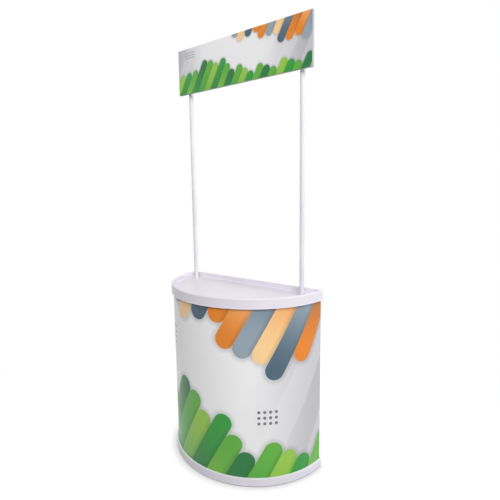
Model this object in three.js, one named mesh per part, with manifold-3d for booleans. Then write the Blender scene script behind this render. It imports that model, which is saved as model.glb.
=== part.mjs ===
// Exhibition counter: a D-shaped moulded counter with a printed front, an inner shelf
// and a header board on two plug-in poles. Millimetres, +Z up, front towards -Y.
// The pieces are drawn with Y = 0 along the back edge, and the group is centred at the end.

import * as THREE from 'three';
import { mergeVertices } from 'three/addons/utils/BufferGeometryUtils.js';
import Module from 'manifold-3d';

const wasm = await Module();
wasm.setup();

// Clearances shared by all pieces
const clearance = { seat: 0.3, slide: 0.4, cut: 2 };

// Countertop and base share one D-shaped outline, with grooves for the front panel
const tray = {
  halfWidth: 407,
  depth: 397,
  cornerRadius: 8,
  wall: 3,
  overhang: 8,
  ribWall: 2.2,
  ribDepth: 15,
  leastCorner: 0.6,
};
const top = {
  height: 850,
  skirt: 45,
  edgeRadius: 5,
  rimWidth: 12,
  rimSkin: 3,
  recessDepth: 23,
  recessCorner: 10,
  deck: 3,
  beadProud: 1,
  beadHeight: 4,
};
const deckRib = { thickness: 2, depth: 10, pitch: 130 };
const poleBoss = { radius: 34, depth: 12 };
const base = { height: 37, edgeRadius: 3.5, rimSkin: 3, floor: 3, floorRise: 3 };
const foot = { radius: 14, chamfer: 1, stand: 3, inset: 48 };
const footPlaceShares = [0.05, 0.27, 0.5, 0.73, 0.95];

// Front panel, its print and the stiffeners of its back edges
const sheet = { thickness: 3 };
const print = { thickness: 0.5 };
const edgeStrip = { thickness: 2.5, width: 20 };

// Shelf, its brackets and their rivets
const shelf = { height: 442, plate: 3, rim: 20, wall: 2.5, edgeRadius: 3, cornerRadius: 6, sideGap: 5 };
const shelfRib = { thickness: 2, depth: 8, pitch: 150 };
const bracket = { width: 30, reach: 22, plate: 3, ledge: 3, drop: 38, gusset: 2.5 };
const bracketPlaceShares = [0.08, 0.35, 0.65, 0.92];
const rivet = { shankRadius: 2.2, headRadius: 4.5, headHeight: 1.6, flareRadius: 4, flareDepth: 1.6 };
const rivetRowShares = [0.34, 0.72];

// Poles, plugs, joiners and the sockets that hold the poles
const pole = { radius: 11, wall: 1.5, sideInset: 72, backInset: 66, lowerLength: 587, upperLength: 586 };
const plug = { flange: 3, spigot: 12 };
const joiner = { wall: 2, length: 100, chamfer: 1 };
const socket = { wall: 3, depth: 80, floor: 3, collar: 2.5, collarChamfer: 1, flange: 3, flangeMargin: 3 };
const socketScrewCount = 3;

// Header board, which reaches past both poles, and the clips on its back
const board = { overhang: 60, height: 218, thickness: 12.7, printMargin: 0.5 };
const clip = { height: 130, wall: 2.5, flange: 14, flangeThickness: 3, cap: 3, rise: 12 };
const clipScrewRowShares = [0.18, 0.82];
const screw = { shankRadius: 1.8, headRadius: 3.6, headHeight: 2.4, headEdge: 0.6, length: 11 };

// Facets
const frontSteps = 48;
const cornerSteps = 4;
const bevelSteps = 3;
const roundSteps = 20;
const screwSteps = 8;

// Heights that follow from the sizes above
const deckTop = top.height - top.recessDepth;
const deckUnder = deckTop - top.deck;
const skirtLow = top.height - top.skirt;
const baseLow = foot.stand;
const baseHigh = baseLow + base.height;
const baseFloorUnder = baseLow + base.floorRise;
const baseFloor = baseFloorUnder + base.floor;
const panelLow = baseFloor + clearance.seat;
const panelHigh = deckUnder - clearance.seat;
const shelfLow = shelf.height - shelf.rim;

// Insets from the trays' outer line, the outermost piece first
const printInset = tray.overhang;
const sheetInset = printInset + print.thickness + clearance.seat;
const sheetInner = sheetInset + sheet.thickness;
const outerRib = {
  outer: tray.overhang - clearance.slide - tray.ribWall,
  inner: tray.overhang - clearance.slide,
};
const innerRib = {
  outer: sheetInner + clearance.slide,
  inner: sheetInner + clearance.slide + tray.ribWall,
};
const shelfInset = sheetInner + shelf.sideGap;

// Poles
const poleX = tray.halfWidth - pole.sideInset;
const poleY = -pole.backInset;
const boreRadius = pole.radius + clearance.slide;
const socketRadius = boreRadius + socket.wall;
const socketFloor = deckTop - socket.depth;
const bossUnder = deckUnder - poleBoss.depth;
const socketFlangeTop = bossUnder - clearance.seat;
const socketFlangeRadius = poleBoss.radius - socket.flangeMargin;
const poleFootLow = socketFloor + clearance.seat;
const lowerPoleLow = poleFootLow + plug.flange;
const lowerPoleHigh = lowerPoleLow + pole.lowerLength;
const upperPoleLow = lowerPoleHigh + clearance.seat;
const upperPoleHigh = upperPoleLow + pole.upperLength;
const poleTop = upperPoleHigh + plug.flange;

// Header
const boardHalfWidth = poleX + board.overhang;
const clipHigh = poleTop + clearance.seat + clip.cap;
const clipLow = clipHigh - clip.height;
const boardLow = clipLow - clip.rise;
const clipBack = poleY - boreRadius;
const boardBack = clipBack - clearance.seat;
const boardFront = boardBack - board.thickness;

const whitePlastic = { color: 0xdfdee6, roughness: 0.35, metalness: 0 };
const greyPlastic = { color: 0xb9bac0, roughness: 0.5, metalness: 0 };
const panelPlastic = { color: 0xe6e6e4, roughness: 0.6, metalness: 0 };
const printedFilm = { color: 0xdadcdf, roughness: 0.4, metalness: 0 };
const whitePaint = { color: 0xeeeef2, roughness: 0.3, metalness: 0.1 };
const steel = { color: 0xb4b6b8, roughness: 0.35, metalness: 1 };
const rubber = { color: 0x26262a, roughness: 0.85, metalness: 0 };

const group = new THREE.Group();
group.position.y = tray.depth / 2;

function addPiece(name, geometry, finish) {
  const mesh = new THREE.Mesh(geometry, new THREE.MeshStandardMaterial(finish));
  mesh.name = name;
  group.add(mesh);
  return mesh;
}

// Booleans

function toSolid(geometry) {
  const bare = geometry.clone();
  bare.deleteAttribute('normal');
  bare.deleteAttribute('uv');
  const merged = mergeVertices(bare);
  return new wasm.Manifold(new wasm.Mesh({
    numProp: 3,
    vertProperties: merged.attributes.position.array,
    triVerts: new Uint32Array(merged.index.array),
  }));
}

function toGeometry(solid) {
  const mesh = solid.getMesh();
  const geometry = new THREE.BufferGeometry();
  geometry.setAttribute('position', new THREE.BufferAttribute(mesh.vertProperties, mesh.numProp));
  geometry.setIndex(new THREE.BufferAttribute(mesh.triVerts, 1));
  geometry.computeVertexNormals();
  return geometry;
}

// Outlines

function arcPoints(centreX, centreY, radiusX, radiusY, from, to, steps) {
  return Array.from({ length: steps + 1 }, (_, step) => {
    const angle = from + ((to - from) * step) / steps;
    return new THREE.Vector2(centreX + radiusX * Math.cos(angle), centreY + radiusY * Math.sin(angle));
  });
}

// The angle at which the front curve of an inset outline leaves its side at a given distance from the back
function curveStart(inset, fromBack) {
  const radiusY = tray.depth - tray.cornerRadius - inset;
  return Math.asin(Math.max(0, fromBack - tray.cornerRadius) / radiusY);
}

// A closed D: straight back with rounded corners, elliptic front, a given inset inside the trays' outer line
function dShape(inset, rounding) {
  const corner = Math.max(rounding, tray.leastCorner);
  const radiusX = tray.halfWidth - inset;
  const radiusY = tray.depth - tray.cornerRadius - inset;
  const cornerY = -inset - corner;
  const start = curveStart(inset, inset + corner);
  const cornerX = radiusX * Math.cos(start) - corner;
  return new THREE.Shape([
    ...arcPoints(cornerX, cornerY, corner, corner, 0, Math.PI / 2, cornerSteps),
    ...arcPoints(-cornerX, cornerY, corner, corner, Math.PI / 2, Math.PI, cornerSteps),
    ...arcPoints(0, -tray.cornerRadius, radiusX, radiusY, Math.PI + start, 2 * Math.PI - start, frontSteps)
      .slice(1, -1),
  ]);
}

function trayShape(inset) {
  return dShape(inset, tray.cornerRadius - inset);
}

// A strip of the front curve between two insets, from one angle to another
function curvedShape(outerInset, innerInset, from, to, steps) {
  const radiusY = tray.depth - tray.cornerRadius;
  const arc = (inset) => arcPoints(
    0, -tray.cornerRadius, tray.halfWidth - inset, radiusY - inset, from, to, steps);
  return new THREE.Shape([...arc(outerInset), ...arc(innerInset).reverse()]);
}

// A place and an outward direction on the front curve: share 0 is its left end, share 1 its right end
function onCurve(inset, share) {
  const angle = Math.PI * (1 + share);
  const radiusX = tray.halfWidth - inset;
  const radiusY = tray.depth - tray.cornerRadius - inset;
  return {
    x: radiusX * Math.cos(angle),
    y: -tray.cornerRadius + radiusY * Math.sin(angle),
    turn: Math.atan2(Math.sin(angle) / radiusY, Math.cos(angle) / radiusX),
  };
}

// Basic solids

function slab(shape, low, high) {
  const geometry = new THREE.ExtrudeGeometry(shape, { depth: high - low, bevelEnabled: false });
  return geometry.translate(0, 0, low);
}

function solidSlab(shape, low, high) {
  return toSolid(slab(shape, low, high));
}

function solidRing(outerShape, innerShape, low, high) {
  const inner = solidSlab(innerShape, low - clearance.cut, high + clearance.cut);
  return solidSlab(outerShape, low, high).subtract(inner);
}

function box(sizeX, sizeY, sizeZ, x, y, z) {
  return new THREE.BoxGeometry(sizeX, sizeY, sizeZ).translate(x, y, z);
}

// A slab whose top edge is rounded: the bevel at its foot is cut away
function roundedSlab(shape, low, high, radius) {
  const height = high - low;
  const geometry = new THREE.ExtrudeGeometry(shape, {
    depth: height,
    bevelThickness: radius,
    bevelSize: radius,
    bevelOffset: -radius,
    bevelSegments: bevelSteps,
  });
  const span = 2 * (tray.halfWidth + tray.depth);
  const spare = height + 2 * radius;
  const below = box(span, span, spare, 0, 0, low - spare / 2);
  return toSolid(geometry.translate(0, 0, low - radius)).subtract(toSolid(below));
}

function lathe(points, steps) {
  const profile = points.map(([radius, height]) => new THREE.Vector2(radius, height));
  return new THREE.LatheGeometry(profile, steps).rotateX(Math.PI / 2);
}

function rod(radius, low, high, steps = roundSteps) {
  return lathe([[0, low], [radius, low], [radius, high], [0, high]], steps);
}

function tube(outerRadius, innerRadius, low, high) {
  return lathe([
    [innerRadius, low], [outerRadius, low], [outerRadius, high], [innerRadius, high], [innerRadius, low],
  ], roundSteps);
}

// Ribs that cross a D-shaped plate both ways, joined into one solid
function crossRibs(rib, inset, low, high) {
  const lengthX = 2 * tray.halfWidth;
  const lengthY = 2 * tray.depth;
  const middle = (low + high) / 2;
  const height = high - low;
  const across = Math.floor((tray.halfWidth - inset) / rib.pitch);
  const along = Math.floor((tray.depth - inset) / rib.pitch);
  const bars = [];
  for (let i = -across; i <= across; i += 1) {
    bars.push(box(rib.thickness, lengthY, height, i * rib.pitch, 0, middle));
  }
  for (let j = 1; j <= along; j += 1) {
    bars.push(box(lengthX, rib.thickness, height, 0, -j * rib.pitch, middle));
  }
  const grid = bars.map(toSolid).reduce((sum, bar) => sum.add(bar));
  return grid.intersect(solidSlab(trayShape(inset), low - clearance.cut, high + clearance.cut));
}

// Trays

function panelGroove(low, high) {
  const outer = solidRing(trayShape(outerRib.outer), trayShape(outerRib.inner), low, high);
  return outer.add(solidRing(trayShape(innerRib.outer), trayShape(innerRib.inner), low, high));
}

function screwPlaces(radius) {
  return Array.from({ length: socketScrewCount }, (_, i) => {
    const angle = (2 * Math.PI * i) / socketScrewCount - Math.PI / 2;
    return { x: radius * Math.cos(angle), y: radius * Math.sin(angle) };
  });
}

const socketScrewCircle = (socketRadius + socketFlangeRadius) / 2;
const screwHole = screw.shankRadius + clearance.seat;

function countertop() {
  const high = top.height + clearance.cut;
  const beadShape = dShape(-top.beadProud, tray.cornerRadius + top.beadProud);
  const recess = dShape(top.rimWidth, top.recessCorner);
  const ribLow = deckUnder - tray.ribDepth;
  const channel = solidRing(
    trayShape(tray.wall), trayShape(outerRib.outer), deckUnder - clearance.cut, top.height - top.rimSkin);
  let solid = roundedSlab(trayShape(0), skirtLow, top.height, top.edgeRadius)
    .add(roundedSlab(beadShape, skirtLow, skirtLow + top.beadHeight, top.beadProud))
    .subtract(solidSlab(trayShape(tray.wall), skirtLow - clearance.cut, deckUnder))
    .subtract(channel)
    .subtract(solidSlab(recess, deckTop, high))
    .add(panelGroove(ribLow, deckUnder + clearance.seat))
    .add(crossRibs(deckRib, innerRib.outer, deckUnder - deckRib.depth, deckUnder + clearance.seat));
  for (const side of [-1, 1]) {
    const place = (geometry) => toSolid(geometry.translate(side * poleX, poleY, 0));
    solid = solid.add(place(rod(poleBoss.radius, bossUnder, deckUnder + clearance.seat)));
    solid = solid.subtract(place(rod(socketRadius + clearance.slide, bossUnder - clearance.cut, high)));
    for (const { x, y } of screwPlaces(socketScrewCircle)) {
      const depth = screw.length - socket.flange + clearance.slide;
      const hole = rod(screwHole, bossUnder - clearance.cut, bossUnder + depth, screwSteps);
      solid = solid.subtract(place(hole.translate(x, y, 0)));
    }
  }
  return toGeometry(solid);
}

function baseTray() {
  const channel = solidRing(
    trayShape(tray.wall), trayShape(outerRib.outer), baseLow - clearance.cut, baseHigh - base.rimSkin);
  const rib = solidRing(
    trayShape(innerRib.outer), trayShape(innerRib.inner), baseFloorUnder, baseFloor + tray.ribDepth);
  const solid = roundedSlab(trayShape(0), baseLow, baseHigh, base.edgeRadius)
    .subtract(solidSlab(trayShape(outerRib.inner), baseFloor, baseHigh + clearance.cut))
    .subtract(channel)
    .subtract(solidSlab(trayShape(outerRib.outer), baseLow - clearance.cut, baseFloorUnder))
    .add(rib);
  return toGeometry(solid);
}

function rubberFoot() {
  const high = baseFloorUnder - clearance.seat;
  return lathe([
    [0, 0], [foot.radius - foot.chamfer, 0], [foot.radius, foot.chamfer], [foot.radius, high], [0, high],
  ], roundSteps);
}

// Front panel

const panelStart = curveStart(printInset, tray.overhang);
const panelFrom = Math.PI + panelStart;
const panelTo = 2 * Math.PI - panelStart;
const facetHalf = (Math.PI * tray.halfWidth) / frontSteps / 2;

// How far the middle of a chord of the front curve lies inside the curve
function curveRise(halfChord) {
  return (halfChord * halfChord) / (2 * (tray.depth - tray.cornerRadius - sheetInner));
}

const bracketOffset = clearance.seat + curveRise(bracket.width / 2) + curveRise(facetHalf);
const bracketBack = sheetInner + bracketOffset;
const bracketTop = shelfLow - clearance.seat;
const rivetHeights = rivetRowShares.map((share) => bracketTop - share * bracket.drop);

function atBracket(geometry, share, inset) {
  const { x, y, turn } = onCurve(inset, share);
  return geometry.clone().rotateZ(turn).translate(x, y, 0);
}

// A solid of revolution that points outwards from the panel, lengths counted from the sheet's outer face
function outward(points, height) {
  return lathe(points, screwSteps).rotateY(Math.PI / 2).translate(0, 0, height);
}

function rivetHole(height) {
  const shank = rivet.shankRadius + clearance.seat;
  const flare = rivet.flareRadius + clearance.seat;
  return outward([
    [0, -bracket.drop], [shank, -bracket.drop], [shank, -rivet.flareDepth - clearance.slide],
    [flare, -clearance.slide], [flare, clearance.cut], [0, clearance.cut],
  ], height);
}

function frontPanel() {
  const outline = curvedShape(sheetInset, sheetInner, panelFrom, panelTo, frontSteps);
  let solid = solidSlab(outline, panelLow, panelHigh);
  for (const share of bracketPlaceShares) {
    for (const height of rivetHeights) {
      solid = solid.subtract(toSolid(atBracket(rivetHole(height), share, sheetInset)));
    }
  }
  return toGeometry(solid);
}

function bodyGraphic() {
  const outline = curvedShape(printInset, printInset + print.thickness, panelFrom, panelTo, frontSteps);
  return slab(outline, panelLow, panelHigh);
}

function edgeStiffener(side) {
  const outer = sheetInner + clearance.seat;
  const sweep = edgeStrip.width / (tray.depth - tray.cornerRadius);
  const from = side < 0 ? panelFrom : panelTo - sweep;
  const outline = curvedShape(outer, outer + edgeStrip.thickness, from, from + sweep, cornerSteps);
  const low = baseFloor + tray.ribDepth + clearance.slide;
  return slab(outline, low, deckUnder - tray.ribDepth - clearance.slide);
}

// Shelf and brackets

function shelfPlate() {
  const shape = dShape(shelfInset, shelf.cornerRadius);
  const inside = dShape(shelfInset + shelf.wall, shelf.cornerRadius - shelf.wall);
  const under = shelf.height - shelf.plate;
  const ribLow = under - shelfRib.depth;
  const ribs = crossRibs(shelfRib, shelfInset + shelf.wall / 2, ribLow, under + clearance.seat);
  const solid = roundedSlab(shape, shelfLow, shelf.height, shelf.edgeRadius)
    .subtract(solidSlab(inside, shelfLow - clearance.cut, under))
    .add(ribs);
  return toGeometry(solid);
}

// Drawn with its back plate on X = 0, facing +X
function shelfBracket() {
  const { width, reach, plate, ledge, drop, gusset } = bracket;
  const low = bracketTop - drop;
  const web = new THREE.Shape([
    new THREE.Vector2(0, low), new THREE.Vector2(0, bracketTop), new THREE.Vector2(-reach, bracketTop),
    new THREE.Vector2(-reach, bracketTop - ledge), new THREE.Vector2(-plate, low),
  ]);
  const gussetAt = (y) => slab(web, 0, gusset).rotateX(Math.PI / 2).translate(0, y + gusset, 0);
  let solid = toSolid(box(plate, width, drop, -plate / 2, 0, low + drop / 2));
  solid = solid.add(toSolid(box(reach, width, ledge, -reach / 2, 0, bracketTop - ledge / 2)));
  solid = solid.add(toSolid(gussetAt(-width / 2))).add(toSolid(gussetAt(width / 2 - gusset)));
  for (const height of rivetHeights) {
    const hole = rod(rivet.shankRadius + clearance.seat, -plate - clearance.cut, clearance.cut, screwSteps);
    solid = solid.subtract(toSolid(hole.rotateY(Math.PI / 2).translate(0, 0, height)));
  }
  return toGeometry(solid);
}

function bracketRivet(height) {
  const { shankRadius, headRadius, headHeight, flareRadius, flareDepth } = rivet;
  const headFace = sheetInset - bracketBack - bracket.plate - clearance.seat;
  const tip = -clearance.slide;
  return outward([
    [0, headFace - headHeight], [shankRadius, headFace - headHeight], [headRadius, headFace - headHeight / 2],
    [headRadius, headFace], [shankRadius, headFace], [shankRadius, tip - flareDepth],
    [flareRadius, tip], [0, tip],
  ], height);
}

// Poles

function poleSocket() {
  const low = socketFloor - socket.floor;
  const high = deckTop + socket.collar;
  const flangeLow = socketFlangeTop - socket.flange;
  let solid = toSolid(lathe([
    [0, low], [socketRadius, low], [socketRadius, flangeLow], [socketFlangeRadius, flangeLow],
    [socketFlangeRadius, socketFlangeTop], [socketRadius, socketFlangeTop],
    [socketRadius, high - socket.collarChamfer], [socketRadius - socket.collarChamfer, high],
    [boreRadius, high], [boreRadius, socketFloor], [0, socketFloor],
  ], roundSteps));
  for (const { x, y } of screwPlaces(socketScrewCircle)) {
    const hole = rod(screwHole, flangeLow - clearance.cut, socketFlangeTop + clearance.cut, screwSteps);
    solid = solid.subtract(toSolid(hole.translate(x, y, 0)));
  }
  return toGeometry(solid);
}

// A pan-head screw that points along +Z, the underside of its head at zero
function panScrew() {
  const { shankRadius, headRadius, headHeight, headEdge, length } = screw;
  return lathe([
    [0, -headHeight], [headRadius - headEdge, -headHeight], [headRadius, headEdge - headHeight],
    [headRadius, 0], [shankRadius, 0], [shankRadius, length - headEdge], [shankRadius - headEdge, length],
    [0, length],
  ], screwSteps);
}

// An end plug: its flange covers the tube's end, its spigot lies inside the tube
function endPlug(seat, direction) {
  const spigotRadius = pole.radius - pole.wall - clearance.seat;
  const flangeEnd = seat - direction * plug.flange;
  const spigotEnd = seat + direction * plug.spigot;
  const points = [
    [0, flangeEnd], [pole.radius, flangeEnd], [pole.radius, seat - direction * clearance.seat],
    [spigotRadius, seat - direction * clearance.seat], [spigotRadius, spigotEnd], [0, spigotEnd],
  ];
  return lathe(direction > 0 ? points : points.reverse(), roundSteps);
}

function poleTube(low, length) {
  return tube(pole.radius, pole.radius - pole.wall, low, low + length);
}

function poleJoiner() {
  const outer = pole.radius - pole.wall - clearance.seat;
  const inner = outer - joiner.wall;
  const low = lowerPoleHigh - joiner.length / 2;
  const high = lowerPoleHigh + joiner.length / 2;
  return lathe([
    [inner, low], [outer, low], [outer, high - joiner.chamfer], [outer - joiner.chamfer, high],
    [inner, high], [inner, low],
  ], roundSteps);
}

// Header

function clipScrewPlaces() {
  const across = boreRadius + clip.wall + clip.flange / 2;
  return clipScrewRowShares.flatMap((share) => [-1, 1].map((side) => ({
    x: side * across,
    z: clipLow + share * clip.height,
  })));
}

function headerBoard() {
  const centreY = boardFront + board.thickness / 2;
  const centreZ = boardLow + board.height / 2;
  let solid = toSolid(box(2 * boardHalfWidth, board.thickness, board.height, 0, centreY, centreZ));
  const depth = screw.length - clip.flangeThickness - clearance.seat + clearance.slide;
  const hole = rod(screwHole, -depth, clearance.cut, screwSteps).rotateX(-Math.PI / 2);
  for (const side of [-1, 1]) {
    for (const { x, z } of clipScrewPlaces()) {
      solid = solid.subtract(toSolid(hole.clone().translate(side * poleX + x, boardBack, z)));
    }
  }
  return toGeometry(solid);
}

function headerGraphic() {
  const back = boardFront - clearance.seat;
  const width = 2 * (boardHalfWidth - board.printMargin);
  const height = board.height - 2 * board.printMargin;
  return box(width, print.thickness, height, 0, back - print.thickness / 2, boardLow + board.height / 2);
}

// A sleeve with a flange on each side, open towards the board and closed on top, drawn round X = 0, Y = 0
function headerClip() {
  const outer = boreRadius + clip.wall;
  const half = outer + clip.flange;
  const back = -boreRadius;
  const flange = back + clip.flangeThickness;
  const corner = (x, y) => new THREE.Vector2(x, y);
  const outerArc = arcPoints(0, 0, outer, outer, 0, Math.PI, roundSteps / 2);
  const innerArc = arcPoints(0, 0, boreRadius, boreRadius, Math.PI, 0, roundSteps / 2);
  const sleeve = new THREE.Shape([
    corner(boreRadius, back), corner(half, back), corner(half, flange), corner(outer, flange),
    ...outerArc,
    corner(-outer, flange), corner(-half, flange), corner(-half, back), corner(-boreRadius, back),
    ...innerArc,
  ]);
  const lid = new THREE.Shape([corner(outer, back), ...outerArc, corner(-outer, back)]);
  let solid = solidSlab(sleeve, clipLow, clipHigh).add(solidSlab(lid, clipHigh - clip.cap, clipHigh));
  const hole = rod(screwHole, back - clearance.cut, flange + clearance.cut, screwSteps).rotateX(-Math.PI / 2);
  for (const { x, z } of clipScrewPlaces()) {
    solid = solid.subtract(toSolid(hole.clone().translate(x, 0, z)));
  }
  return toGeometry(solid);
}

// Assembly

addPiece('base_tray', baseTray(), whitePlastic);
footPlaceShares.forEach((share, i) => {
  const { x, y } = onCurve(foot.inset, share);
  addPiece(`foot_${i + 1}`, rubberFoot(), rubber).position.set(x, y, 0);
});

addPiece('front_panel', frontPanel(), panelPlastic);
addPiece('body_graphic', bodyGraphic(), printedFilm);
addPiece('edge_strip_left', edgeStiffener(-1), greyPlastic);
addPiece('edge_strip_right', edgeStiffener(1), greyPlastic);
bracketPlaceShares.forEach((share, i) => {
  addPiece(`shelf_bracket_${i + 1}`, atBracket(shelfBracket(), share, bracketBack), whitePlastic);
  rivetHeights.forEach((height, row) => {
    const number = rivetHeights.length * i + row + 1;
    addPiece(`bracket_rivet_${number}`, atBracket(bracketRivet(height), share, sheetInset), greyPlastic);
  });
});

addPiece('shelf', shelfPlate(), whitePlastic);
addPiece('countertop', countertop(), whitePlastic);

function addPoleSide(name, index) {
  const x = index ? poleX : -poleX;
  const atPole = (piece, geometry, finish) => addPiece(`${piece}_${name}`, geometry, finish)
    .position.set(x, poleY, 0);
  atPole('pole_socket', poleSocket(), whitePlastic);
  atPole('lower_pole', poleTube(lowerPoleLow, pole.lowerLength), whitePaint);
  atPole('pole_foot', endPlug(lowerPoleLow, 1), greyPlastic);
  atPole('pole_joiner', poleJoiner(), greyPlastic);
  atPole('upper_pole', poleTube(upperPoleLow, pole.upperLength), whitePaint);
  atPole('pole_cap', endPlug(upperPoleHigh, -1), greyPlastic);
  atPole('header_clip', headerClip(), whitePlastic);
  screwPlaces(socketScrewCircle).forEach((place, i) => {
    const height = socketFlangeTop - socket.flange - clearance.seat;
    addPiece(`socket_screw_${socketScrewCount * index + i + 1}`, panScrew(), steel)
      .position.set(x + place.x, poleY + place.y, height);
  });
  clipScrewPlaces().forEach((place, i, places) => {
    const piece = addPiece(`header_screw_${places.length * index + i + 1}`, panScrew(), steel);
    piece.rotation.x = Math.PI / 2;
    piece.position.set(x + place.x, clipBack + clip.flangeThickness + clearance.seat, place.z);
  });
}

['left', 'right'].forEach(addPoleSide);

addPiece('header_board', headerBoard(), panelPlastic);
addPiece('header_graphic', headerGraphic(), printedFilm);

export default group;
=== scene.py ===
# Exhibition counter: its shapes and finishes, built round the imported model.
# Metres, +Z up, the printed front towards -Y.

import math

import bmesh
import bpy
from mathutils import Matrix, Vector


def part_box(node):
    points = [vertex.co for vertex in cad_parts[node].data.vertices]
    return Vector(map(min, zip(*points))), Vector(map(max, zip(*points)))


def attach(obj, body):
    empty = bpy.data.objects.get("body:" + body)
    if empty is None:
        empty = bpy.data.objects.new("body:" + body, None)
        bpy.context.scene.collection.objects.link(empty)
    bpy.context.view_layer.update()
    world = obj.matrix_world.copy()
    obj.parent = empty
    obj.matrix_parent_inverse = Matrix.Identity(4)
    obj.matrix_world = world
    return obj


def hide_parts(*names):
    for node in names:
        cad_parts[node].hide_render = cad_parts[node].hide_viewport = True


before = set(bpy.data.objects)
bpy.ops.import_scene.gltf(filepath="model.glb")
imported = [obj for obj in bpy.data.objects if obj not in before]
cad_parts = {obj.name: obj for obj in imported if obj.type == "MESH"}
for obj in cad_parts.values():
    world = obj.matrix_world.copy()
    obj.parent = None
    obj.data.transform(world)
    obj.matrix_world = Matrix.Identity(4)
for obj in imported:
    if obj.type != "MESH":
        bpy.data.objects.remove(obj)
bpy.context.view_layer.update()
scene = bpy.context.scene
scene.view_settings.view_transform = "Standard"


# Camera, at the photograph's viewpoint: angles in degrees, lens and sensor in millimetres

camera = {
    "place": (1.3031, -1.4395, 1.2839),
    "turn": 38.76,
    "tilt": -7.72,
    "roll": -0.72,
    "lens": 30.22,
    "sensor": 36.0,
}


def placeCamera():
    turn, tilt, roll = (math.radians(camera[key]) for key in ("turn", "tilt", "roll"))
    forward = Vector((-math.sin(turn) * math.cos(tilt), math.cos(turn) * math.cos(tilt), math.sin(tilt)))
    level = Vector((math.cos(turn), math.sin(turn), 0))
    upright = level.cross(forward)
    right = level * math.cos(roll) + upright * math.sin(roll)
    up = upright * math.cos(roll) - level * math.sin(roll)
    data = bpy.data.cameras.new("camera")
    data.sensor_width = camera["sensor"]
    data.lens = camera["lens"]
    eye = bpy.data.objects.new("camera", data)
    scene.collection.objects.link(eye)
    axes = Matrix((right, up, -forward)).transposed()
    eye.matrix_world = Matrix.Translation(camera["place"]) @ axes.to_4x4()
    scene.camera = eye


placeCamera()


# Shader nodes


def linear(red, green, blue):
    # a screen colour from 0 to 255 as the shaders want it
    shares = [channel / 255 for channel in (red, green, blue)]
    return [s / 12.92 if s <= 0.04045 else ((s + 0.055) / 1.055) ** 2.4 for s in shares] + [1.0]


class Link:
    # an output socket that works in sums
    def __init__(self, paint, socket):
        self.paint = paint
        self.socket = socket

    def operate(self, operation, other=0.0):
        return self.paint.node("ShaderNodeMath", {"operation": operation}, {0: self, 1: other})

    def __add__(self, other):
        return self.operate("ADD", other)

    def __sub__(self, other):
        return self.operate("SUBTRACT", other)

    def __rsub__(self, other):
        return self * -1 + other

    def __mul__(self, other):
        return self.operate("MULTIPLY", other)

    def __mod__(self, other):
        return self.operate("FLOORED_MODULO", other)

    def __abs__(self):
        return self.operate("ABSOLUTE")

    __radd__ = __add__
    __rmul__ = __mul__

    def output(self, name):
        # another output of the same node
        return Link(self.paint, self.socket.node.outputs[name])

    def ease(self, fromLow, fromHigh):
        # a smooth step from 0 to 1 between two values, either way round
        settings = {"interpolation_type": "SMOOTHSTEP"}
        return self.paint.node("ShaderNodeMapRange", settings, {
            "Value": self, "From Min": fromLow, "From Max": fromHigh,
        })


class Paint:
    # the nodes of a material or of the world
    def __init__(self, owner):
        owner.use_nodes = True
        self.owner = owner
        self.tree = owner.node_tree

    def plug(self, socket, value):
        if isinstance(value, Link):
            self.tree.links.new(value.socket, socket)
        else:
            socket.default_value = value

    def node(self, kind, settings=None, inputs=None, output=0):
        made = self.tree.nodes.new(kind)
        for name, value in (settings or {}).items():
            setattr(made, name, value)
        for name, value in (inputs or {}).items():
            self.plug(made.inputs[name], value)
        return Link(self, made.outputs[output])

    def coords(self):
        return self.node("ShaderNodeTexCoord", output="Object")

    def length(self, vector):
        return self.node("ShaderNodeVectorMath", {"operation": "LENGTH"}, {0: vector}, "Value")

    def mix(self, factor, first, second, blend="MIX"):
        settings = {"data_type": "RGBA", "blend_type": blend}
        return self.node("ShaderNodeMix", settings, {0: factor, 6: first, 7: second}, 2)

    def noise(self, pattern):
        # a pattern's noise, or a smooth step of it where the pattern says between which values
        place = self.coords()
        if "stretch" in pattern:
            place = self.node("ShaderNodeMapping", {}, {"Vector": place, "Scale": pattern["stretch"]})
        cloud = self.node("ShaderNodeTexNoise", {}, {
            "Vector": place,
            "Scale": pattern["scale"],
            "Detail": pattern.get("detail", 2.0),
            "Roughness": pattern.get("coarse", 0.5),
        })
        return cloud.ease(*pattern["between"]) if "between" in pattern else cloud

    def bump(self, height, relief, under=None):
        inputs = {"Height": height, "Distance": relief["depth"], "Strength": relief["strength"]}
        if under:
            inputs["Normal"] = under
        return self.node("ShaderNodeBump", {}, inputs)

    def finish(self, look, colour, rough, normal):
        # rough: what a pattern adds to the finish's own roughness
        sockets = self.tree.nodes["Principled BSDF"].inputs
        self.plug(sockets["Base Color"], colour)
        self.plug(sockets["Roughness"], rough + look["roughness"])
        self.plug(sockets["Metallic"], look.get("metal", 0.0))
        self.plug(sockets["Specular IOR Level"], look["gloss"])
        self.plug(sockets["Normal"], normal)
        return self.owner


def newPaint(name):
    return Paint(bpy.data.materials.new(name))


# Finishes

# roughness stays at 0.28 or more, because smoother spots are denoised in another way and show as blotches
trayPlastic = {
    "colour": linear(226, 222, 231),
    "shade": linear(222, 218, 227),
    "dust": linear(196, 192, 188),
    "tone": {"scale": 5, "detail": 3, "between": (0.35, 0.7)},
    "scuffs": {"scale": 60, "detail": 6, "coarse": 0.65, "stretch": (1, 3, 0.6), "between": (0.6, 0.78)},
    "specks": {"scale": 800, "detail": 1, "between": (0.76, 0.82)},
    "speckDust": 0.1,
    "scuffDust": 0.04,
    "roughness": 0.285,
    "scuffed": 0.1,
    "gloss": 0.4,
    "ripple": {"scale": 34, "detail": 1, "depth": 0.0003, "strength": 0.25},
    "grain": {"scale": 1500, "detail": 3, "depth": 0.00003, "strength": 0.25},
}


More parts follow.
